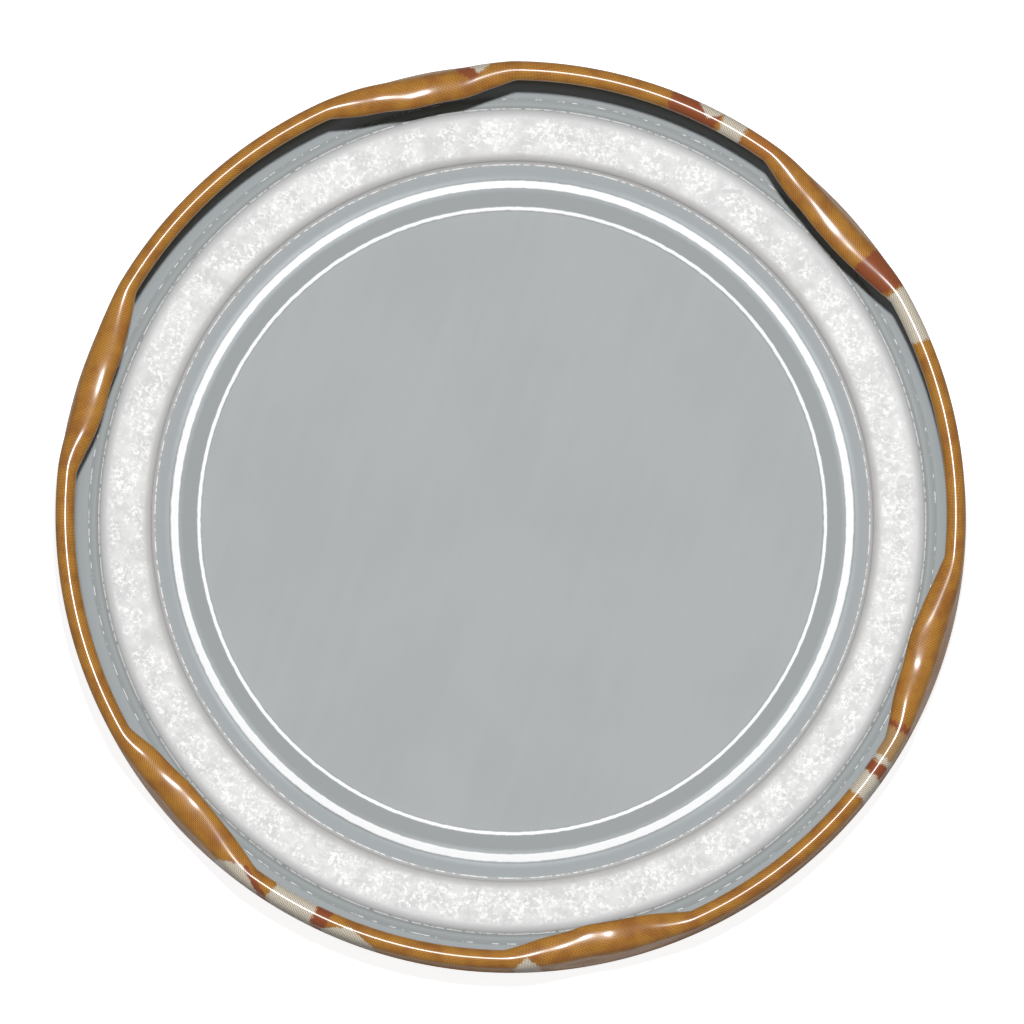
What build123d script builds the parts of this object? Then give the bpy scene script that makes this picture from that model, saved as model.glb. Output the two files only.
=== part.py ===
from build123d import *
from math import cos, pi, sin, sqrt
import os

# Twist-off jar lid: a six-lug cap pressed from thin steel sheet, with a flowed-in sealing ring.
# The lid lies open side up. The origin is the centre of the ring that it rests on, +Z points out
# of its mouth and +X runs through the middle of one lug. Millimetres.

# The sheet and the overall size
sheet = 0.2  # thickness of the lacquered sheet
cap_radius = 42.6  # outer face of the skirt and of the curl
cap_height = 10.0  # resting plane to the top of the curl

# The pressed top, from the corner inwards, measured on its outer (lower) face
corner_radius = 2.6  # skirt to resting ring
channel_width = 7.85  # flat width of the resting ring, which is the gasket's channel inside
main_step_run = 0.85  # width of the main step in plan
main_step_rise = 0.6
narrow_ring_width = 1.7  # flat ring between the two steps
inner_step_run = 0.4  # width of the small step down to the panel, in plan
inner_step_drop = 0.25
main_step_bend = 0.45  # bend radii
inner_step_bend = 0.4

# The curl: the skirt's edge rolled inwards into a hollow bead
curl_width = 1.8
curl_turn = 95.0  # degrees of roll under the bead, past its innermost point
plain_skirt = 1.8  # height of the skirt above its corner that no lug dents

# The six lugs: the bead pressed inwards and flattened
lug_count = 6
lug_half_angle = 12.4  # degrees from a lug's middle to where it starts
lug_reach = 1.66  # how far the bead's inner edge moves inwards
lug_crest_shift = 1.3  # how far its crest moves inwards
lug_dent = 0.42  # how far its outer edge moves inwards
lug_dip = 0.25  # how far its crest drops
lug_back_drop = 0.65  # how far lower the dented outer edge turns upright
lug_sections = 11  # sections that the lug's sheet is formed through
seam_tolerance = 0.0005

# The sealing ring in the channel
gasket_outer_clearance = 0.15  # from its outer edge to where the corner starts to curve
gasket_inner_clearance = 1.35  # from its inner edge to the foot of the main step
gasket_thickness = 0.75
margin_thickness = 0.2  # the thin film that it flows out to at both edges
inner_margin = 0.35  # widths of those two films
outer_margin = 1.05
shoulder_width = 0.75  # rounded flank between a film and the crown

# Radii and heights that follow
channel_outer_radius = cap_radius - corner_radius
channel_inner_radius = channel_outer_radius - channel_width
ring_outer_radius = channel_inner_radius - main_step_run
ring_inner_radius = ring_outer_radius - narrow_ring_width
panel_radius = ring_inner_radius - inner_step_run
panel_height = main_step_rise - inner_step_drop
root_height = corner_radius + plain_skirt

os.makedirs("parts", exist_ok=True)


def lug_share(angle, power):
    """How much of the lug is formed at an angle from its middle: 1 in the middle, 0 at its ends."""
    return max(cos(pi / 2 * min(abs(angle) / lug_half_angle, 1.0)), 0.0) ** power


def rim_line(angle):
    """Points up the outer face of the skirt and round the bead, at an angle from a lug's middle."""
    tip = lug_share(angle, 0.85)
    body = lug_share(angle, 1.5)
    bead = curl_width / 2
    outer_edge = cap_radius - lug_dent * body
    crest = cap_radius - bead - lug_crest_shift * body
    inner_edge = cap_radius - curl_width - lug_reach * tip
    top = cap_height - lug_dip * body
    back_height = bead + lug_back_drop * body
    upright = top - back_height
    line = []
    for step in range(6):
        share = step / 6
        ease = share * share * (3 - 2 * share)
        line.append((cap_radius + (outer_edge - cap_radius) * ease,
                     root_height + (upright - root_height) * share))
    for step in range(8):
        turn = pi / 2 * step / 8
        line.append((crest + (outer_edge - crest) * cos(turn), upright + back_height * sin(turn)))
    for step in range(15):
        turn = pi / 2 + (pi / 2 + curl_turn * pi / 180) * step / 14
        line.append((crest + (crest - inner_edge) * cos(turn), top - bead + bead * sin(turn)))
    return line


def inner_line(outer):
    """The same points moved through the sheet to its other face."""
    inner = []
    for step, (radius, height) in enumerate(outer):
        before = outer[max(step - 1, 0)]
        after = outer[min(step + 1, len(outer) - 1)]
        run = (after[0] - before[0], after[1] - before[1])
        if step == 0:
            run = (0.0, 1.0)
        length = sqrt(run[0] ** 2 + run[1] ** 2)
        inner.append((radius - sheet * run[1] / length, height + sheet * run[0] / length))
    return inner


def rim_section(angle):
    """Closed section of the skirt's upper part and the bead, turned to its place on the rim."""
    outer = rim_line(angle)
    inner = inner_line(outer)
    with BuildSketch(Plane.XZ.rotated((0, 0, angle))) as section:
        with BuildLine():
            Spline(*outer)
            Line(outer[-1], inner[-1])
            Spline(*inner[::-1])
            Line(inner[0], outer[0])
        make_face()
    return section.sketch


# The pressed top and the plain lower skirt, one band of sheet turned about the axis.
with BuildPart() as pressed_top:
    with BuildSketch(Plane.XZ):
        with BuildLine():
            FilletPolyline(
                (0, panel_height),
                (panel_radius, panel_height),
                (ring_inner_radius, main_step_rise),
                (ring_outer_radius, main_step_rise),
                (channel_inner_radius, 0),
                (cap_radius, 0),
                (cap_radius, root_height),
                radius=[inner_step_bend, inner_step_bend, main_step_bend, main_step_bend,
                        corner_radius],
            )
            offset(amount=sheet, side=Side.LEFT)
        make_face()
    revolve(axis=Axis.Z)

# One stretch of plain rim between two lugs.
lug_pitch = 360 / lug_count
plain_arc = lug_pitch - 2 * lug_half_angle
with BuildPart() as plain_rim:
    add(rim_section(lug_half_angle))
    revolve(axis=Axis.Z, revolution_arc=plain_arc)

# One lug, formed through sections that change from the plain bead to the flattened one and back.
with BuildPart() as lug:
    for step in range(lug_sections):
        add(rim_section(lug_half_angle * (2 * step / (lug_sections - 1) - 1)))
    loft()

# The whole cap is one sheet. The formed surfaces meet the turned ones within the seam tolerance.
rim_pieces = []
for place in range(lug_count):
    rim_pieces.append(plain_rim.part.rotate(Axis.Z, lug_pitch * place))
    rim_pieces.append(lug.part.rotate(Axis.Z, lug_pitch * place))
with BuildPart() as shell:
    add(pressed_top.part.fuse(*rim_pieces, tol=seam_tolerance).clean())
shell.part.label = "shell"
export_step(shell.part, "parts/shell.step")

# The sealing ring: a low crown between two rounded flanks, feathered out to a film at each edge.
outer_radius = channel_outer_radius - gasket_outer_clearance
inner_radius = channel_inner_radius + gasket_inner_clearance
outer_flank = outer_radius - outer_margin
inner_flank = inner_radius + inner_margin
outer_crown = outer_flank - shoulder_width
inner_crown = inner_flank + shoulder_width
crown_height = sheet + gasket_thickness
film_height = sheet + margin_thickness
with BuildPart() as gasket:
    with BuildSketch(Plane.XZ):
        with BuildLine():
            Polyline(
                (inner_radius + margin_thickness, film_height),
                (inner_radius, sheet),
                (outer_radius, sheet),
                (outer_radius - margin_thickness, film_height),
                (outer_flank, film_height),
            )
            Spline((outer_flank, film_height), (outer_crown, crown_height),
                   tangents=((-0.3, 1.0), (-1.0, 0.0)))
            Line((outer_crown, crown_height), (inner_crown, crown_height))
            Spline((inner_crown, crown_height), (inner_flank, film_height),
                   tangents=((-1.0, 0.0), (-0.3, -1.0)))
            Line((inner_flank, film_height), (inner_radius + margin_thickness, film_height))
        make_face()
    revolve(axis=Axis.Z)
gasket.part.label = "gasket"
export_step(gasket.part, "parts/gasket.step")

print("shell volume", round(shell.part.volume, 1), "gasket volume", round(gasket.part.volume, 1))
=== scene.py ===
import bpy
import bmesh
import math
from mathutils import Matrix, Vector, noise


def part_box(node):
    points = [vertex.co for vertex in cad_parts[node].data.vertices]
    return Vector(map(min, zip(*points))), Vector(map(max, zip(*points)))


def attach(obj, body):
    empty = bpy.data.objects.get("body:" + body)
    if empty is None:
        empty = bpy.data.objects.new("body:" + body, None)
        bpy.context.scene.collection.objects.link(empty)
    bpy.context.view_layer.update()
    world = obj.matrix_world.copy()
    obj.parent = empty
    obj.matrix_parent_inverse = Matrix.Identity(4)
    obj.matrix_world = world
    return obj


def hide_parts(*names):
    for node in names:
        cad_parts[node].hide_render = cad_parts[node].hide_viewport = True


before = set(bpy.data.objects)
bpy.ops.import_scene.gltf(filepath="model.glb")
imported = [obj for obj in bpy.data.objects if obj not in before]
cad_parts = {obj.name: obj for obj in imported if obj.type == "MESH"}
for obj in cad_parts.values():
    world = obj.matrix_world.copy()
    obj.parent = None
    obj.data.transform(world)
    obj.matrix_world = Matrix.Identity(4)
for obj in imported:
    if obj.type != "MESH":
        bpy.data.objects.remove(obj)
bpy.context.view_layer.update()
print("frame loaded")

mm = 0.001


def newMaterial(name):
    material = bpy.data.materials.new(name)
    material.use_nodes = True
    tree = material.node_tree
    tree.nodes.clear()
    output = tree.nodes.new("ShaderNodeOutputMaterial")
    shader = tree.nodes.new("ShaderNodeBsdfPrincipled")
    tree.links.new(shader.outputs[0], output.inputs[0])
    return material, tree, shader


def plug(tree, value, socket):
    if isinstance(value, bpy.types.NodeSocket):
        tree.links.new(value, socket)
    else:
        socket.default_value = value


def maths(tree, operation, *values, clamp=False):
    node = tree.nodes.new("ShaderNodeMath")
    node.operation = operation
    node.use_clamp = clamp
    for value, socket in zip(values, node.inputs):
        plug(tree, value, socket)
    return node.outputs[0]


def ramp(tree, value, low, high, toLow=0.0, toHigh=1.0):
    node = tree.nodes.new("ShaderNodeMapRange")
    node.interpolation_type = "SMOOTHSTEP"
    for number, item in enumerate((value, low, high, toLow, toHigh)):
        plug(tree, item, node.inputs[number])
    return node.outputs[0]


def mixColour(tree, factor, first, second, blend="MIX"):
    node = tree.nodes.new("ShaderNodeMix")
    node.data_type = "RGBA"
    node.blend_type = blend
    plug(tree, factor, node.inputs[0])
    plug(tree, first, node.inputs[6])
    plug(tree, second, node.inputs[7])
    return node.outputs[2]


def noiseValue(tree, vector, scale, detail=2.0, roughness=0.5, distortion=0.0):
    node = tree.nodes.new("ShaderNodeTexNoise")
    plug(tree, vector, node.inputs["Vector"])
    node.inputs["Scale"].default_value = scale
    node.inputs["Detail"].default_value = detail
    node.inputs["Roughness"].default_value = roughness
    node.inputs["Distortion"].default_value = distortion
    return node.outputs[0]


def objectPoint(tree, scale=(1, 1, 1), turn=(0, 0, 0)):
    coordinates = tree.nodes.new("ShaderNodeTexCoord")
    mapping = tree.nodes.new("ShaderNodeMapping")
    tree.links.new(coordinates.outputs["Object"], mapping.inputs["Vector"])
    mapping.inputs["Rotation"].default_value = turn
    mapping.inputs["Scale"].default_value = scale
    return mapping.outputs[0]


def bumpNormal(tree, height, distance, strength=1.0):
    node = tree.nodes.new("ShaderNodeBump")
    node.inputs["Strength"].default_value = strength
    node.inputs["Distance"].default_value = distance
    plug(tree, height, node.inputs["Height"])
    return node.outputs[0]


def finishPiece(mesh, name):
    bmesh.ops.recalc_face_normals(mesh, faces=mesh.faces)
    for face in mesh.faces:
        face.smooth = True
    data = bpy.data.meshes.new(name)
    mesh.to_mesh(data)
    mesh.free()
    piece = bpy.data.objects.new(name, data)
    bpy.context.collection.objects.link(piece)
    return piece


def polarGroup():
    group = bpy.data.node_groups.new("polarPlace", "ShaderNodeTree")
    group.interface.new_socket("Radius", in_out="OUTPUT", socket_type="NodeSocketFloat")
    group.interface.new_socket("Angle", in_out="OUTPUT", socket_type="NodeSocketFloat")
    finish = group.nodes.new("NodeGroupOutput")
    coordinates = group.nodes.new("ShaderNodeTexCoord")
    split = group.nodes.new("ShaderNodeSeparateXYZ")
    group.links.new(coordinates.outputs["Object"], split.inputs[0])
    x, y = split.outputs[0], split.outputs[1]
    squares = maths(group, "ADD", maths(group, "MULTIPLY", x, x), maths(group, "MULTIPLY", y, y))
    radius = maths(group, "MULTIPLY", maths(group, "SQRT", squares), 1 / mm)  # millimetres
    angle = maths(group, "MULTIPLY", maths(group, "ARCTAN2", y, x), 180 / math.pi)  # degrees
    group.links.new(radius, finish.inputs["Radius"])
    group.links.new(angle, finish.inputs["Angle"])
    return group


polarPlace = polarGroup()


def polar(tree):
    node = tree.nodes.new("ShaderNodeGroup")
    node.node_tree = polarPlace
    return node.outputs["Radius"], node.outputs["Angle"]


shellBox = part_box("shell")
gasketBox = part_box("gasket")
capRadius = shellBox[1][0]
capHeight = shellBox[1][2]

sheetValues = {
    "thickness": 0.2,
    "cornerRadius": 2.6,
    "channelWidth": 7.85,
    "mainStepRun": 0.85,
    "mainStepRise": 0.6,
    "narrowRing": 1.7,
    "innerStepRun": 0.4,
    "innerStepDrop": 0.25,
    "mainBend": 0.45,
    "innerBend": 0.4,
    "plainSkirt": 1.8,
    "curlWidth": 1.8,
    "curlTurn": 95.0,
    "lugCount": 6,
    "lugHalfAngle": 12.4,
    "lugReach": 1.66,
    "lugCrestShift": 1.3,
    "lugDent": 0.42,
    "lugDip": 0.25,
    "lugBackDrop": 0.65,
    "lugUnevenness": 0.28,
    "lugFlatWidth": 0.55,
    "lugFlatDepth": 0.13,
    "stepsRound": 540,
}


def roundedOutline(corners, radii, steps=6, margin=0.06):
    outline = [Vector(corners[0])]
    for before, corner, after, radius in zip(corners, corners[1:], corners[2:], radii):
        corner = Vector(corner)
        inward = (Vector(before) - corner).normalized()
        onward = (Vector(after) - corner).normalized()
        half = inward.angle(onward) / 2
        reach = radius / math.tan(half)
        centre = corner + (inward + onward).normalized() * (radius / math.sin(half))
        start = corner + inward * reach - centre
        end = corner + onward * reach - centre
        outline.append(centre + start + inward * margin)  # holds the flat beside the bend flat
        for step in range(steps + 1):
            outline.append(centre + start.slerp(end, step / steps) * radius)  # slerp has unit length
        outline.append(centre + end + onward * margin)
    outline.append(Vector(corners[-1]))
    return outline


def lugShare(angle, power):
    share = min(abs(angle) / sheetValues["lugHalfAngle"], 1.0)
    return max(math.cos(math.pi / 2 * share), 0.0) ** power


def rimOutline(angle):
    v = sheetValues
    tip = lugShare(angle, 0.85)
    body = lugShare(angle, 1.5)
    radius = capRadius / mm
    bead = v["curlWidth"] / 2
    outerEdge = radius - v["lugDent"] * body
    crest = radius - bead - v["lugCrestShift"] * body
    innerEdge = radius - v["curlWidth"] - v["lugReach"] * tip
    top = capHeight / mm - v["lugDip"] * body
    backHeight = bead + v["lugBackDrop"] * body
    upright = top - backHeight
    root = v["cornerRadius"] + v["plainSkirt"]
    outline = []
    for step in range(8):
        share = step / 8
        ease = share * share * (3 - 2 * share)
        outline.append((radius + (outerEdge - radius) * ease, root + (upright - root) * share))
    for step in range(10):
        turn = math.pi / 2 * step / 10
        r = crest + (outerEdge - crest) * math.cos(turn)
        outline.append((r, upright + backHeight * math.sin(turn)))
    for step in range(19):
        turn = math.pi / 2 + (math.pi / 2 + math.radians(v["curlTurn"])) * step / 18
        r = crest + (crest - innerEdge) * math.cos(turn)
        outline.append((r, top - bead + bead * math.sin(turn)))
    return outline


def lengthOf(line):
    return sum(math.dist(before, after) for before, after in zip(line, line[1:]))


def lugAngle(place):
    pitch = 360 / sheetValues["lugCount"]
    angle = math.degrees(math.atan2(place.y, place.x))
    return angle - pitch * round(angle / pitch)


def stepRadii():
    v = sheetValues
    channelOuter = capRadius / mm - v["cornerRadius"]
    channelInner = channelOuter - v["channelWidth"]
    ringOuter = channelInner - v["mainStepRun"]
    ringInner = ringOuter - v["narrowRing"]
    return {"channelInner": channelInner, "ringOuter": ringOuter, "ringInner": ringInner,
            "panelEdge": ringInner - v["innerStepRun"]}


def buildShell():
    v = sheetValues
    radius = capRadius / mm
    sizes = stepRadii()
    panelHeight = v["mainStepRise"] - v["innerStepDrop"]
    root = v["cornerRadius"] + v["plainSkirt"]
    corners = [(0, panelHeight), (sizes["panelEdge"], panelHeight), (sizes["ringInner"], v["mainStepRise"]),
               (sizes["ringOuter"], v["mainStepRise"]), (sizes["channelInner"], 0), (radius, 0),
               (radius, root)]
    radii = [v["innerBend"], v["innerBend"], v["mainBend"], v["mainBend"], v["cornerRadius"]]
    pressed = roundedOutline(corners, radii)[:-1]
    rim = rimOutline(180 / v["lugCount"])
    outline = [tuple(point) for point in pressed] + rim

    mesh = bmesh.new()
    along = mesh.verts.layers.float.new("alongSheet")
    number = mesh.verts.layers.int.new("outlineNumber")
    distance = 0.0
    previous = None
    for index, (r, z) in enumerate(outline):
        vert = mesh.verts.new((r * mm, 0, z * mm))
        if previous:
            distance += (vert.co - previous.co).length / mm
            mesh.edges.new((previous, vert))
        vert[along] = distance
        vert[number] = index
        previous = vert
    bmesh.ops.spin(mesh, geom=mesh.verts[:] + mesh.edges[:], axis=(0, 0, 1), cent=(0, 0, 0),
                   angle=math.tau, steps=v["stepsRound"], use_merge=True)
    bmesh.ops.remove_doubles(mesh, verts=mesh.verts, dist=0.001 * mm)
    first = len(pressed)
    formed = {}
    for vert in mesh.verts:
        turned = lugAngle(vert.co)
        if vert[number] < first or abs(turned) > v["lugHalfAngle"]:
            continue
        key = round(turned, 3)
        if key not in formed:
            formed[key] = rimOutline(key)
        line = formed[key]
        place = vert[number] - first
        r, z = line[place]
        uneven = noise.noise(vert.co / mm * 0.27) * lugShare(turned, 0.7) * min(place / 10, 1)
        crest = radius - v["curlWidth"] / 2 - v["lugCrestShift"] * lugShare(turned, 1.5)
        flat = math.exp(-((r - crest) / v["lugFlatWidth"]) ** 2 / 2) * lugShare(turned, 3)
        r -= uneven * v["lugUnevenness"]
        z += uneven * v["lugUnevenness"] * 0.7 - flat * v["lugFlatDepth"]
        outwards = Vector((vert.co.x, vert.co.y, 0)).normalized()
        vert.co = outwards * r * mm + Vector((0, 0, min(z, capHeight / mm) * mm))
        vert[along] += lengthOf(line[:place + 1]) - lengthOf(rim[:place + 1])
    return finishPiece(mesh, "capSheet")


printValues = {
    "ochre": (0.62, 0.285, 0.03, 1),
    "ochreDark": (0.43, 0.16, 0.012, 1),
    "screenPitch": 0.2,  # millimetres between the printed dots
    "screenShade": (0.2, 0.15, 0.1, 1),  # how far the screen darkens what it crosses
    "screenLean": 0.4,  # how much stronger one diagonal of the screen is
    "cream": (0.86, 0.8, 0.67, 1),
    "redBrown": (0.36, 0.085, 0.014, 1),
    "orange": (0.56, 0.21, 0.025, 1),
    "tan": (0.58, 0.36, 0.15, 1),
    "fieldFoot": 2.5,  # height on the skirt where the coloured fields stop
    "ragged": 1.4,  # degrees that the fields' edges wander
    "dentDepth": 0.012,  # millimetres of unevenness in the printed face
}

# The coloured fields on the curl: middle and half width in degrees, depth in curl widths, colour.
# A depth over 1 crosses the whole curl, and a smaller one is a point that ends on it.
printFields = [
    (44.6, 3.7, 20, "cream"),
    (51.4, 2.8, 20, "redBrown"),
    (74.2, 2.0, 20, "orange"),
    (78.3, 1.6, 20, "cream"),
    (83.7, 3.5, 20, "redBrown"),
    (81.8, 1.9, 0.65, "cream"),
    (113.2, 2.6, 1.1, "redBrown"),
    (112.2, 2.0, 0.6, "cream"),
    (-108.5, 4.4, 0.85, "redBrown"),
    (-109.3, 3.5, 0.7, "cream"),
    (-101.0, 3.2, 20, "cream"),
    (-96.8, 1.1, 20, "redBrown"),
    (-92.9, 3.6, 0.6, "cream"),
    (-69.7, 1.7, 0.55, "cream"),
    (-19.2, 1.7, 20, "cream"),
    (-16.7, 0.9, 20, "redBrown"),
    (-15.3, 0.5, 20, "cream"),
    (-13.0, 1.9, 20, "tan"),
    (-10.6, 0.5, 20, "redBrown"),
]


def wander(tree, value, grain, amount):
    drift = maths(tree, "SUBTRACT", noiseValue(tree, objectPoint(tree), grain, 2), 0.5)
    return maths(tree, "ADD", value, maths(tree, "MULTIPLY", drift, amount))


def fieldGroup():
    group = bpy.data.node_groups.new("printField", "ShaderNodeTree")
    for name in ("Angle", "Across", "Middle", "Half", "Depth"):
        group.interface.new_socket(name, in_out="INPUT", socket_type="NodeSocketFloat")
    group.interface.new_socket("Mask", in_out="OUTPUT", socket_type="NodeSocketFloat")
    start = group.nodes.new("NodeGroupInput").outputs
    finish = group.nodes.new("NodeGroupOutput")
    shrink = maths(group, "SUBTRACT", 1.0, maths(group, "DIVIDE", start["Across"], start["Depth"]))
    reach = maths(group, "MULTIPLY", start["Half"], shrink)
    off = maths(group, "ABSOLUTE", maths(group, "SUBTRACT", start["Angle"], start["Middle"]))
    mask = ramp(group, maths(group, "SUBTRACT", reach, off), -0.3, 0.3)
    group.links.new(mask, finish.inputs["Mask"])
    return group


def makePrintMaterial():
    v = printValues
    material, tree, shader = newMaterial("printedOutside")
    radius, angle = polar(tree)
    attribute = tree.nodes.new("ShaderNodeAttribute")
    attribute.attribute_name = "alongSheet"
    wave = math.tau / v["screenPitch"] / math.sqrt(2)
    turns = round(wave * capRadius / mm)  # a whole number, so that the screen closes on itself
    around = maths(tree, "MULTIPLY", angle, math.radians(turns))
    along = maths(tree, "MULTIPLY", attribute.outputs["Fac"], wave)
    up = maths(tree, "SINE", maths(tree, "ADD", around, along))
    down = maths(tree, "SINE", maths(tree, "SUBTRACT", around, along))
    crossed = maths(tree, "MULTIPLY", up, down)
    leaning = maths(tree, "MULTIPLY", up, v["screenLean"])
    screen = ramp(tree, maths(tree, "ADD", crossed, leaning), -0.8, 0.7)
    cloud = noiseValue(tree, objectPoint(tree), 500, 3)
    colour = mixColour(tree, ramp(tree, cloud, 0.35, 0.75), v["ochre"], v["ochreDark"])

    split = tree.nodes.new("ShaderNodeSeparateXYZ")
    tree.links.new(objectPoint(tree), split.inputs[0])
    above = ramp(tree, split.outputs[2], v["fieldFoot"] * mm, (v["fieldFoot"] + 0.08) * mm)
    inwards = maths(tree, "SUBTRACT", capRadius / mm, radius)
    across = maths(tree, "DIVIDE", inwards, sheetValues["curlWidth"])
    edge = wander(tree, angle, 2500, v["ragged"])
    for middle, half, depth, name in printFields:
        field = tree.nodes.new("ShaderNodeGroup")
        field.node_tree = printField
        tree.links.new(edge, field.inputs["Angle"])
        tree.links.new(across, field.inputs["Across"])
        field.inputs["Middle"].default_value = middle
        field.inputs["Half"].default_value = half
        field.inputs["Depth"].default_value = depth
        mask = maths(tree, "MULTIPLY", field.outputs["Mask"], above)
        colour = mixColour(tree, mask, colour, v[name])
    shade = mixColour(tree, screen, v["screenShade"], (1, 1, 1, 1))
    plug(tree, mixColour(tree, 1.0, colour, shade, "MULTIPLY"), shader.inputs["Base Color"])
    dents = noiseValue(tree, objectPoint(tree), 1400, 2)
    plug(tree, bumpNormal(tree, dents, v["dentDepth"] * mm), shader.inputs["Normal"])
    shader.inputs["Roughness"].default_value = 0.5
    shader.inputs["Specular IOR Level"].default_value = 0.15
    shader.inputs["Coat Weight"].default_value = 0.45
    shader.inputs["Coat Roughness"].default_value = 0.2
    return material


lacquerValues = {
    "panel": (0.366, 0.388, 0.395, 1),
    "panelLight": (0.389, 0.409, 0.415, 1),
    "narrowRing": (0.303, 0.324, 0.331, 1),
    "channel": (0.325, 0.35, 0.362, 1),
    "wall": (0.1, 0.092, 0.065, 1),  # painted shade: dark brown up the inside of the skirt and into the corner, standing in for the shadow under the curl
    "flank": (0.5, 0.54, 0.56, 1),  # painted sheen: a paler colour beside the wide step, standing in for reflected light
    "paintedRingHighlight": (0.95, 0.955, 0.96, 1),  # painted highlight: near white on the two step rings, standing in for their reflections
    # painted glow: emission on the same rings, though they are no lamp
    "paintedRingGlow": (0.17, 0.175, 0.18, 1),
    "shadeStart": 40.7,  # radii between which the painted shade on the wall sets in
    "wallFull": 41.5,
    "blend": 0.1,  # millimetres over which the flat zones change
    "softness": 0.08,  # the same for the edges of the painted highlight lines
    "ripple": 0.14,  # how far those lines wander
}


def band(tree, value, low, high, soft):
    rise = ramp(tree, value, low - soft, low + soft)
    fall = ramp(tree, value, high - soft, high + soft, 1.0, 0.0)
    return maths(tree, "MULTIPLY", rise, fall)


def makeLacquerMaterial():
    v = lacquerValues
    material, tree, shader = newMaterial("greyLacquer")
    radius = polar(tree)[0]
    sizes = stepRadii()
    cloud = noiseValue(tree, objectPoint(tree), 70, 4)
    streaks = noiseValue(tree, objectPoint(tree, (1, 0.08, 1), (0, 0, 0.7)), 900, 3)
    cloud = maths(tree, "MULTIPLY", cloud, 0.7)
    mottle = maths(tree, "ADD", cloud, maths(tree, "MULTIPLY", streaks, 0.3))
    colour = mixColour(tree, ramp(tree, mottle, 0.38, 0.62), v["panel"], v["panelLight"])
    blend = v["blend"]
    onRing = band(tree, radius, sizes["ringInner"], sizes["ringOuter"], blend)
    colour = mixColour(tree, onRing, colour, v["narrowRing"])
    foot = sizes["channelInner"]
    colour = mixColour(tree, ramp(tree, radius, foot - blend, foot + blend), colour, v["channel"])
    # painted shade: darker colour from the corner outwards and up the inside wall
    colour = mixColour(tree, ramp(tree, radius, v["shadeStart"], v["wallFull"]), colour, v["wall"])
    soft = v["softness"]
    line = wander(tree, radius, 1300, v["ripple"])
    # painted sheen beside the wide step, patchy by noise
    drift = ramp(tree, noiseValue(tree, objectPoint(tree), 35, 1), 0.35, 0.65, 0.15, 0.9)
    flank = band(tree, line, sizes["ringOuter"] - 0.22, foot + 0.3, 0.3)
    colour = mixColour(tree, maths(tree, "MULTIPLY", flank, drift), colour, v["flank"])
    # painted highlights: the thin and wide step rings are painted near white and made to glow
    thin = band(tree, line, sizes["panelEdge"] + 0.06, sizes["ringInner"] - 0.06, soft)
    wide = band(tree, line, sizes["ringOuter"] + 0.06, foot - 0.1, soft)
    paintedRingHighlight = maths(tree, "MAXIMUM", thin, wide)
    colour = mixColour(tree, paintedRingHighlight, colour, v["paintedRingHighlight"])
    plug(tree, colour, shader.inputs["Base Color"])
    glow = mixColour(tree, paintedRingHighlight, (0, 0, 0, 1), v["paintedRingGlow"])
    plug(tree, glow, shader.inputs["Emission Color"])
    shader.inputs["Emission Strength"].default_value = 1.0
    shader.inputs["Roughness"].default_value = 0.55
    shader.inputs["Specular IOR Level"].default_value = 0.22
    return material


printField = fieldGroup()
shell = buildShell()
solidify = shell.modifiers.new("sheetThickness", "SOLIDIFY")
solidify.thickness = sheetValues["thickness"] * mm
solidify.offset = -1
solidify.use_even_offset = True
solidify.material_offset = 1
solidify.material_offset_rim = 1
shell.data.materials.append(makePrintMaterial())
shell.data.materials.append(makeLacquerMaterial())
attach(shell, "root")
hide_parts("shell")
print("sheet built")

gasketValues = {
    "innerRadius": 33.5,
    "filmThickness": 0.2,
    "innerMargin": 0.35,
    "outerMargin": 1.05,
    "shoulder": 0.75,
    "stepsRound": 1200,
    "crownColumns": 20,
    "fineLift": 0.012,  # millimetres of unevenness on the crown
    "broadLift": 0.02,
    "sink": 0.03,  # keeps the highest spots under the crown's height
}

gasketColours = {
    "crown": (0.745, 0.745, 0.74, 1),
    "crownDull": (0.6, 0.605, 0.605, 1),
    "paintedGlints": (0.97, 0.97, 0.97, 1),
    "innerFilm": (0.47, 0.465, 0.46, 1),
    "outerCrown": (0.58, 0.59, 0.59, 1),
    "outerFilm": (0.34, 0.365, 0.37, 1),
    "grain": 0.36,  # millimetres between the painted glints
}


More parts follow.
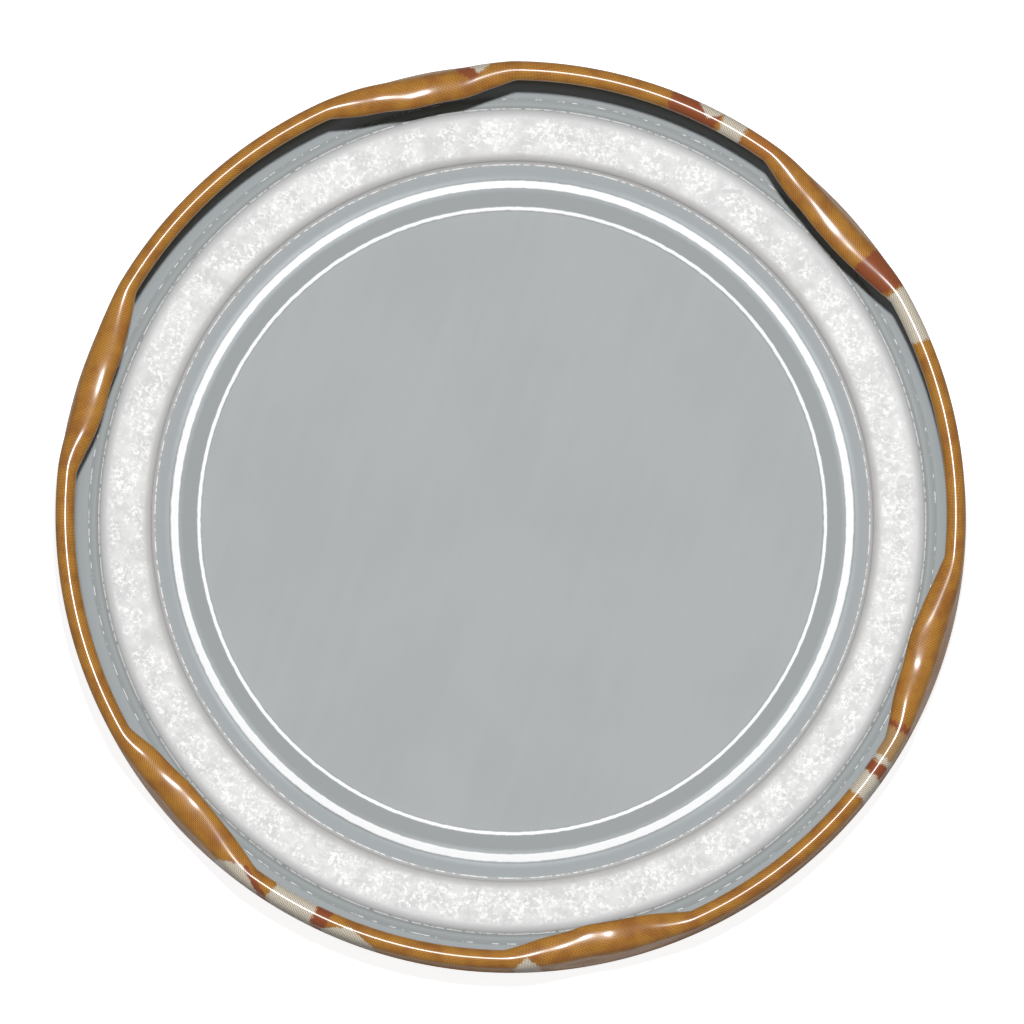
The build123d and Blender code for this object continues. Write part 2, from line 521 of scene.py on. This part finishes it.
def buildGasket():
    v = gasketValues
    floor = gasketBox[0][2] / mm
    crown = gasketBox[1][2] / mm
    film = floor + v["filmThickness"]
    outer = gasketBox[1][0] / mm
    inner = v["innerRadius"]
    innerFlank = inner + v["innerMargin"]
    outerFlank = outer - v["outerMargin"]
    outline = [(inner, floor), (innerFlank * 0.5 + inner * 0.5, film - 0.06)]
    shoulder = []
    for step in range(9):
        turn = math.pi / 2 * step / 8
        shoulder.append((v["shoulder"] * (1 - math.cos(turn)), film + (crown - film) * math.sin(turn)))
    outline += [(innerFlank + inset, z) for inset, z in shoulder]
    innerCrown = innerFlank + v["shoulder"]
    outerCrown = outerFlank - v["shoulder"]
    for column in range(1, v["crownColumns"]):
        outline.append((innerCrown + (outerCrown - innerCrown) * column / v["crownColumns"], crown))
    outline += [(outerFlank - inset, z) for inset, z in shoulder[::-1]]
    margin = outer - outerFlank
    outline += [(outerFlank + margin * 0.4, film - 0.03), (outerFlank + margin * 0.75, film - 0.08),
                (outer, floor)]
    mesh = bmesh.new()
    previous = None
    start = None
    for r, z in outline:
        vert = mesh.verts.new((r * mm, 0, z * mm))
        if previous:
            mesh.edges.new((previous, vert))
        start = start or vert
        previous = vert
    mesh.edges.new((previous, start))
    bmesh.ops.spin(mesh, geom=mesh.verts[:] + mesh.edges[:], axis=(0, 0, 1), cent=(0, 0, 0),
                   angle=math.tau, steps=v["stepsRound"], use_merge=True)
    for edge in mesh.edges:
        edge.smooth = edge.calc_face_angle(0) < math.radians(120)  # crisp where a film ends
    for vert in mesh.verts:
        if vert.co.z / mm > film + 0.1:
            lift = noise.noise(vert.co / mm * 1.6) * v["fineLift"]
            lift += noise.noise(vert.co / mm * 0.5) * v["broadLift"]
            vert.co.z += (lift - v["sink"]) * mm
    return finishPiece(mesh, "sealingRing")


def brokenLine(tree, radius, place, half, grain, low, high):
    dashes = ramp(tree, noiseValue(tree, objectPoint(tree), grain, 2), low, high)
    return maths(tree, "MULTIPLY", band(tree, radius, place - half, place + half, half * 0.7), dashes)


def makeGasketMaterial():
    v = gasketColours
    material, tree, shader = newMaterial("milkyPlastisol")
    radius = polar(tree)[0]
    inner = gasketValues["innerRadius"]
    outer = gasketBox[1][0] / mm
    flank = outer - gasketValues["outerMargin"]
    point = objectPoint(tree)
    cloud = noiseValue(tree, point, 650, 4, 0.6)
    colour = mixColour(tree, ramp(tree, cloud, 0.32, 0.68), v["crownDull"], v["crown"])
    # painted glints: white spots over the crown standing in for sparkles off its rough surface; they are
    # also raised a little in the bump
    glintNoise = noiseValue(tree, point, 1 / (v["grain"] * mm), 3, 0.65, 0.3)
    clusters = noiseValue(tree, point, 620, 3, 0.6)
    pale = maths(tree, "MULTIPLY", ramp(tree, glintNoise, 0.42, 0.66), ramp(tree, clusters, 0.36, 0.54))
    zone = band(tree, radius, inner + 1.1, flank - 0.75, 0.15)
    paintedGlints = maths(tree, "MULTIPLY", pale, zone)
    colour = mixColour(tree, paintedGlints, colour, v["paintedGlints"])
    smooth = ramp(tree, radius, flank - 1.5, flank - 0.3)
    colour = mixColour(tree, smooth, colour, v["outerCrown"])
    nearFilm = ramp(tree, radius, inner + 0.2, inner + 1.8, 1.0, 0.0)
    colour = mixColour(tree, nearFilm, colour, v["innerFilm"])
    colour = mixColour(tree, ramp(tree, radius, flank - 0.06, flank + 0.08), colour, v["outerFilm"])
    # painted highlights: broken white lines along the crown's and the film's edges, standing in for glints
    for line in (brokenLine(tree, radius, inner + 0.06, 0.045, 2200, 0.42, 0.55),
                 brokenLine(tree, radius, flank, 0.07, 2200, 0.36, 0.5),
                 brokenLine(tree, radius, outer - 0.1, 0.035, 1500, 0.5, 0.62)):
        colour = mixColour(tree, line, colour, v["paintedGlints"])
    plug(tree, colour, shader.inputs["Base Color"])
    peel = noiseValue(tree, point, 1700, 3, 0.6)
    peel = maths(tree, "MULTIPLY", peel, 0.6)
    height = maths(tree, "ADD", peel, maths(tree, "MULTIPLY", paintedGlints, 0.4))
    plug(tree, bumpNormal(tree, height, 0.03 * mm, 0.6), shader.inputs["Normal"])
    shader.inputs["Roughness"].default_value = 0.45
    shader.inputs["Specular IOR Level"].default_value = 0.2
    return material


gasket = buildGasket()
gasket.data.materials.append(makeGasketMaterial())
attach(gasket, "root")
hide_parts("gasket")
print("sealing ring built")

stageValues = {
    "cameraDistance": 3.0,
    "tilt": 4.15,  # degrees that the camera leans from straight overhead
    "roll": 18.2,  # degrees from +X to the right of the frame
    "sideways": 0.27,  # share of that lean that goes to the right
    "aimRight": 0.17,  # millimetres from the axis to the middle of the frame
    "aimUp": 0.18,
    "frameWidth": 0.0958,
    "keyPower": 9.2,
    "keySize": 0.03,
    "keyTilt": 5.4,  # degrees from straight overhead
    "keyBearing": 74.0,  # degrees round from the right of the frame
    "skyLight": 0.1,
    "floorColour": 0.5,
    "floorShown": 0.88,
}

roll = math.radians(stageValues["roll"])
imageRight = Vector((math.cos(roll), math.sin(roll), 0))
imageUp = Vector((-math.sin(roll), math.cos(roll), 0))


def addCamera():
    v = stageValues
    data = bpy.data.cameras.new("camera")
    data.sensor_width = 36
    data.lens = 36 * v["cameraDistance"] / v["frameWidth"]
    data.clip_end = 100
    camera = bpy.data.objects.new("camera", data)
    bpy.context.collection.objects.link(camera)
    tilt = math.radians(v["tilt"])
    lean = (imageRight * v["sideways"] - imageUp * math.sqrt(1 - v["sideways"] ** 2)) * math.sin(tilt)
    back = Vector((lean.x, lean.y, math.cos(tilt)))
    target = Vector((0, 0, capHeight)) + (imageRight * v["aimRight"] + imageUp * v["aimUp"]) * mm
    right = imageUp.cross(back).normalized()
    up = back.cross(right)
    turn = Matrix((right, up, back)).transposed().to_4x4()
    camera.matrix_world = Matrix.Translation(target + back * v["cameraDistance"]) @ turn
    bpy.context.scene.camera = camera


def addLamp(name, place, size, power):
    data = bpy.data.lights.new(name, "AREA")
    data.shape = "DISK"
    data.size = size
    data.energy = power
    lamp = bpy.data.objects.new(name, data)
    lamp.location = place
    lamp.rotation_mode = "QUATERNION"
    lamp.rotation_quaternion = place.to_track_quat("Z", "Y")
    lamp.visible_camera = False
    bpy.context.collection.objects.link(lamp)


def addFloor():
    mesh = bmesh.new()
    bmesh.ops.create_grid(mesh, x_segments=1, y_segments=1, size=6)
    data = bpy.data.meshes.new("floor")
    mesh.to_mesh(data)
    mesh.free()
    floor = bpy.data.objects.new("floor", data)
    bpy.context.collection.objects.link(floor)
    floor.location.z = shellBox[0][2]
    material, tree, shader = newMaterial("paleFloor")
    shade = stageValues["floorColour"]
    shader.inputs["Base Color"].default_value = (shade, shade, shade, 1)
    shader.inputs["Roughness"].default_value = 0.9
    path = tree.nodes.new("ShaderNodeLightPath")
    shown = maths(tree, "MULTIPLY", path.outputs["Is Camera Ray"], stageValues["floorShown"])
    plug(tree, shown, shader.inputs["Emission Color"])
    shader.inputs["Emission Strength"].default_value = 1.0
    floor.data.materials.append(material)


addCamera()
addFloor()
keyTilt = math.radians(stageValues["keyTilt"])
keyBearing = math.radians(stageValues["keyBearing"])
keyDirection = (imageUp * math.sin(keyBearing) + imageRight * math.cos(keyBearing)) * math.sin(keyTilt)
keyDirection.z = math.cos(keyTilt)
addLamp("keyLight", keyDirection, stageValues["keySize"], stageValues["keyPower"])

world = bpy.data.worlds.new("studio")
bpy.context.scene.world = world
world.use_nodes = True
worldTree = world.node_tree
background = worldTree.nodes["Background"]
background.inputs[0].default_value = (1, 1, 1, 1)
lightPath = worldTree.nodes.new("ShaderNodeLightPath")
seen = maths(worldTree, "MAXIMUM", lightPath.outputs["Is Camera Ray"], lightPath.outputs["Is Glossy Ray"])
plug(worldTree, ramp(worldTree, seen, 0, 1, stageValues["skyLight"], 1.0), background.inputs[1])

bpy.context.scene.view_settings.view_transform = "Standard"
print("stage built")
